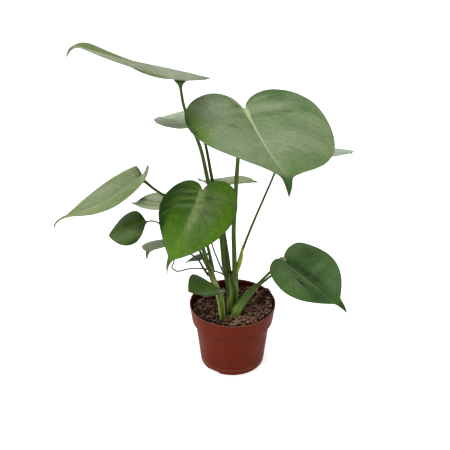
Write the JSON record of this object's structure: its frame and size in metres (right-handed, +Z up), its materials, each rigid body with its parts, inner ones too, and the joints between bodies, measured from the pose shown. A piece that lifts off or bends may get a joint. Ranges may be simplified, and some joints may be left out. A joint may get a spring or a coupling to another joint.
{
  "type": "potted monstera deliciosa",
  "caption": "Young potted Monstera deliciosa: heart-shaped uncut leaves on long upright stalks, in a round terracotta-coloured nursery pot filled with bark and coir soil.",
  "frame": {"origin": "centre of the pot's flat underside, on the surface that it stands on", "axes": "+Z up through the pot, +X to the viewer's right and -Y towards the viewer of the picture"},
  "size_m": [0.4006, 0.3006, 0.4698],
  "materials": {
    "pot": "injection moulded, slightly glossy brick red plastic",
    "soil": "loose bark chips, coir fibre and peat",
    "stalk": "smooth green leaf stalk with a satin skin",
    "blade": "leathery green leaf with a satin cuticle"
  },
  "bodies": {
    "root": {"pot": "pot", "soil": "soil", "stalks_centre": "stalk", "stalks_left": "stalk", "stalks_right": "stalk", "stalk_ovate": "stalk", "blade_top_left": "blade", "blade_top_right": "blade", "blade_behind_top": "blade", "blade_behind_right": "blade", "blade_centre_front": "blade", "blade_far_left": "blade", "blade_mid_left": "blade", "blade_ovate": "blade", "blade_low_left": "blade", "blade_behind_centre": "blade", "blade_bud": "blade", "blade_seedling": "blade", "blade_right": "blade", "blade_right_hidden": "blade"}
  },
  "joints": []
}
